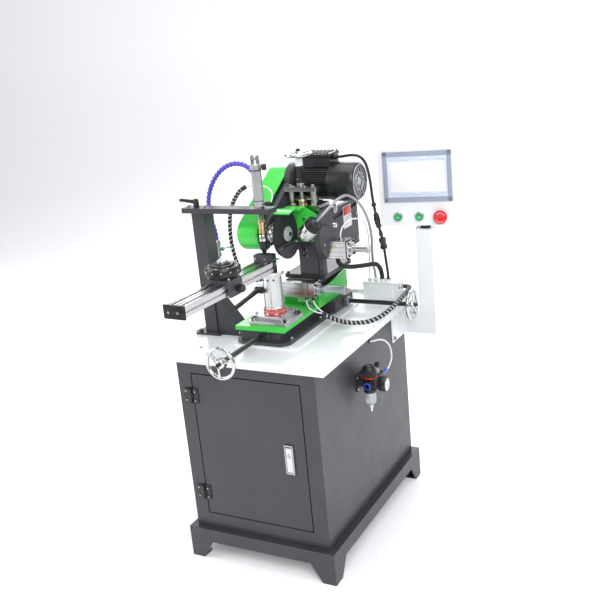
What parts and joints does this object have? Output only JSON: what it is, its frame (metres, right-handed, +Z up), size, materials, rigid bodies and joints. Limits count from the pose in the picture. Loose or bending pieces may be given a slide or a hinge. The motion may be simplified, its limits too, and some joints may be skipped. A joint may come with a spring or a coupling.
{
  "type": "wet grinding sharpener",
  "caption": "Wet grinding machine on a cabinet stand: pivoted motor-driven grinding wheel, blade support with guide rail, pneumatic clamp, drip tray and control panel.",
  "frame": {"origin": "on the floor, under the middle of the cabinet", "axes": "+Z up, the cabinet door faces -Y, +X to the right when facing the door"},
  "size_m": [0.7578, 0.866, 1.117],
  "materials": {
    "dark_paint": "fine textured powder coat",
    "white_paint": "gloss powder coat",
    "green_paint": "gloss paint",
    "bed_paint": "satin paint",
    "chrome": "polished",
    "aluminium": "satin anodised",
    "steel": "ground",
    "black_plastic": "fine grain",
    "black_metal": "satin black",
    "blue_hose": "segmented",
    "black_hose": "satin",
    "clear_tube": "translucent",
    "grey_hose": "flexible metal",
    "abrasive": "fine grit",
    "brass": "satin",
    "button_green": "moulded",
    "stop_red": "moulded",
    "rubber": "satin",
    "pump_paint": "satin paint",
    "zinc": "zinc plated",
    "gear_grey": "moulded"
  },
  "bodies": {
    "frame": {"cabinet_shell": "dark_paint", "plinth": "dark_paint", "drip_tray": "white_paint", "hinge_leaves": "black_metal", "coolant_tank": "zinc", "coolant_pump": "pump_paint", "control_gear": "gear_grey", "bed": "bed_paint", "column": "dark_paint", "top_bar": "dark_paint", "clamp_cylinder": "aluminium", "coolant_valve": "zinc", "coolant_hose": "blue_hose", "coolant_nozzle": "blue_hose", "air_bundles": "black_hose", "air_tubes": "clear_tube", "head_cables": "black_hose", "lamp_gooseneck": "grey_hose", "work_lamp": "aluminium", "junction_box": "white_paint", "panel_post": "white_paint", "air_regulator": "black_plastic"},
    "door": {"door_panel": "dark_paint", "door_hinges": "black_metal"},
    "latch": {"latch_paddle": "chrome"},
    "bar_lever": {"bar_lever": "black_plastic"},
    "clamp_rod": {"clamp_rod": "steel"},
    "valve_lever": {"valve_lever": "button_green"},
    "panel": {"panel_box": "white_paint"},
    "start_button": {"start_button": "button_green"},
    "cycle_button": {"cycle_button": "button_green"},
    "emergency_stop": {"emergency_stop": "stop_red"},
    "regulator_knob": {"regulator_knob": "black_plastic"},
    "front_handwheel": {"front_handwheel": "chrome"},
    "side_handwheel": {"side_handwheel": "chrome"},
    "top_handwheel": {"top_handwheel": "chrome"},
    "table": {"table_slide": "green_paint", "swivel_base": "aluminium"},
    "support": {"support_post": "aluminium", "anvil_block": "bed_paint", "guide_rail": "aluminium"},
    "post_lever": {"post_lever": "black_plastic"},
    "carriage": {"carriage": "bed_paint"},
    "carriage_knob": {"carriage_knob": "black_plastic"},
    "arbor": {"arbor_disc": "black_plastic"},
    "cross_slide": {"head_trough": "green_paint", "head_column": "bed_paint", "guide_posts": "steel", "feed_cylinder": "aluminium"},
    "feed_pawl": {"feed_pawl": "brass"},
    "lift_slide": {"z_slide": "aluminium"},
    "head": {"swing_frame": "bed_paint", "belt_guard": "green_paint", "wheel_guard": "green_paint", "spindle_housing": "aluminium", "motor_body": "black_metal", "drive_belt": "rubber", "stroke_cylinder": "aluminium"},
    "spindle": {"grinding_wheel": "abrasive"},
    "rotor": {"motor_rotor": "steel"}
  },
  "joints": [
    {"name": "door_hinge", "type": "hinge", "parent": "frame", "child": "door", "pos_m": [-0.173, -0.3115, 0.35], "axis": [0, 0, -1], "range_deg": [0, 110]},
    {"name": "latch_pull", "type": "hinge", "parent": "door", "child": "latch", "pos_m": [0.1155, -0.3025, 0.38], "axis": [-1, 0, 0], "range_deg": [0, 25], "stiffness_Nm_per_rad": 0.2, "springref_deg": -2.86},
    {"name": "bar_lever_turn", "type": "hinge", "parent": "frame", "child": "bar_lever", "pos_m": [-0.224, -0.097, 0.975], "axis": [0, 0, 1], "range_deg": [-60, 60]},
    {"name": "clamp_stroke", "type": "slide", "parent": "frame", "child": "clamp_rod", "axis": [0, 0, 1], "range_m": [0, 0.02]},
    {"name": "valve_turn", "type": "hinge", "parent": "frame", "child": "valve_lever", "pos_m": [-0.204, -0.024, 0.835], "axis": [1, 0, 0], "range_deg": [0, 90]},
    {"name": "panel_swivel", "type": "hinge", "parent": "frame", "child": "panel", "pos_m": [0.307, 0.281, 0.85], "axis": [0, 0, 1], "range_deg": [-30, 30]},
    {"name": "start_press", "type": "slide", "parent": "panel", "child": "start_button", "axis": [-0.1564, 0.9877, 0], "range_m": [0, 0.003], "stiffness_N_per_m": 400},
    {"name": "cycle_press", "type": "slide", "parent": "panel", "child": "cycle_button", "axis": [-0.1564, 0.9877, 0], "range_m": [0, 0.003], "stiffness_N_per_m": 400},
    {"name": "emergency_press", "type": "slide", "parent": "panel", "child": "emergency_stop", "axis": [-0.1564, 0.9877, 0], "range_m": [0, 0.003], "stiffness_N_per_m": 600},
    {"name": "pressure_set", "type": "hinge", "parent": "frame", "child": "regulator_knob", "pos_m": [0.246, -0.055, 0.51], "axis": [0, 0, 1], "range_deg": [-270, 270]},
    {"name": "table_feed", "type": "slide", "parent": "frame", "child": "table", "axis": [0, 1, 0], "range_m": [-0.03, 0.005]},
    {"name": "front_wheel_turn", "type": "hinge", "parent": "frame", "child": "front_handwheel", "pos_m": [-0.02, -0.372, 0.631], "axis": [0, -1, 0], "range_deg": [-2701, 451]},
    {"name": "support_swivel", "type": "hinge", "parent": "table", "child": "support", "pos_m": [-0.01, -0.09, 0.7], "axis": [0, 0, 1], "range_deg": [-8, 10]},
    {"name": "post_clamp", "type": "hinge", "parent": "support", "child": "post_lever", "pos_m": [-0.05021, -0.0929, 0.74], "axis": [0.9986, -0.0523, 0], "range_deg": [-50, 8]},
    {"name": "carriage_move", "type": "slide", "parent": "support", "child": "carriage", "axis": [0.0523, 0.9986, 0], "range_m": [-0.17, 0.1]},
    {"name": "carriage_lock", "type": "hinge", "parent": "carriage", "child": "carriage_knob", "pos_m": [0.00997, -0.30134, 0.813], "axis": [0.9986, -0.0523, 0], "range_deg": [-360, 360]},
    {"name": "arbor_spin", "type": "hinge", "parent": "carriage", "child": "arbor", "pos_m": [-0.02698, -0.2994, 0.86], "axis": [0, 0, 1], "continuous": true},
    {"name": "cross_feed", "type": "slide", "parent": "frame", "child": "cross_slide", "axis": [1, 0, 0], "range_m": [-0.004, 0.008]},
    {"name": "side_wheel_turn", "type": "hinge", "parent": "frame", "child": "side_handwheel", "pos_m": [0.284, 0.195, 0.626], "axis": [1, 0, 0], "range_deg": [-361, 721]},
    {"name": "feed_stroke", "type": "slide", "parent": "cross_slide", "child": "feed_pawl", "axis": [1, 0, 0], "range_m": [-0.022, 0]},
    {"name": "head_lift", "type": "slide", "parent": "cross_slide", "child": "lift_slide", "axis": [0, 0, 1], "range_m": [-0.003, 0.01]},
    {"name": "lift_wheel_turn", "type": "hinge", "parent": "cross_slide", "child": "top_handwheel", "pos_m": [0.024, 0.066, 1.09], "axis": [0, 0, 1], "range_deg": [-271, 901]},
    {"name": "head_swing", "type": "hinge", "parent": "lift_slide", "child": "head", "pos_m": [0.04, 0.096, 0.931], "axis": [1, 0, 0], "range_deg": [-4, 1], "deforming": ["head_cables", "air_tubes"]},
    {"name": "wheel_spin", "type": "hinge", "parent": "head", "child": "spindle", "pos_m": [0, -0.036, 0.888], "axis": [1, 0, 0], "continuous": true},
    {"name": "motor_spin", "type": "hinge", "parent": "head", "child": "rotor", "pos_m": [0, 0.15, 0.998], "axis": [1, 0, 0], "continuous": true}
  ],
  "couplings": [
    {"joint": "front_wheel_turn", "follows": "table_feed", "rad_per_m": 1570.8},
    {"joint": "side_wheel_turn", "follows": "cross_feed", "rad_per_m": 1570.8},
    {"joint": "lift_wheel_turn", "follows": "head_lift", "rad_per_m": 1570.8},
    {"joint": "motor_spin", "follows": "wheel_spin", "ratio": 1}
  ]
}
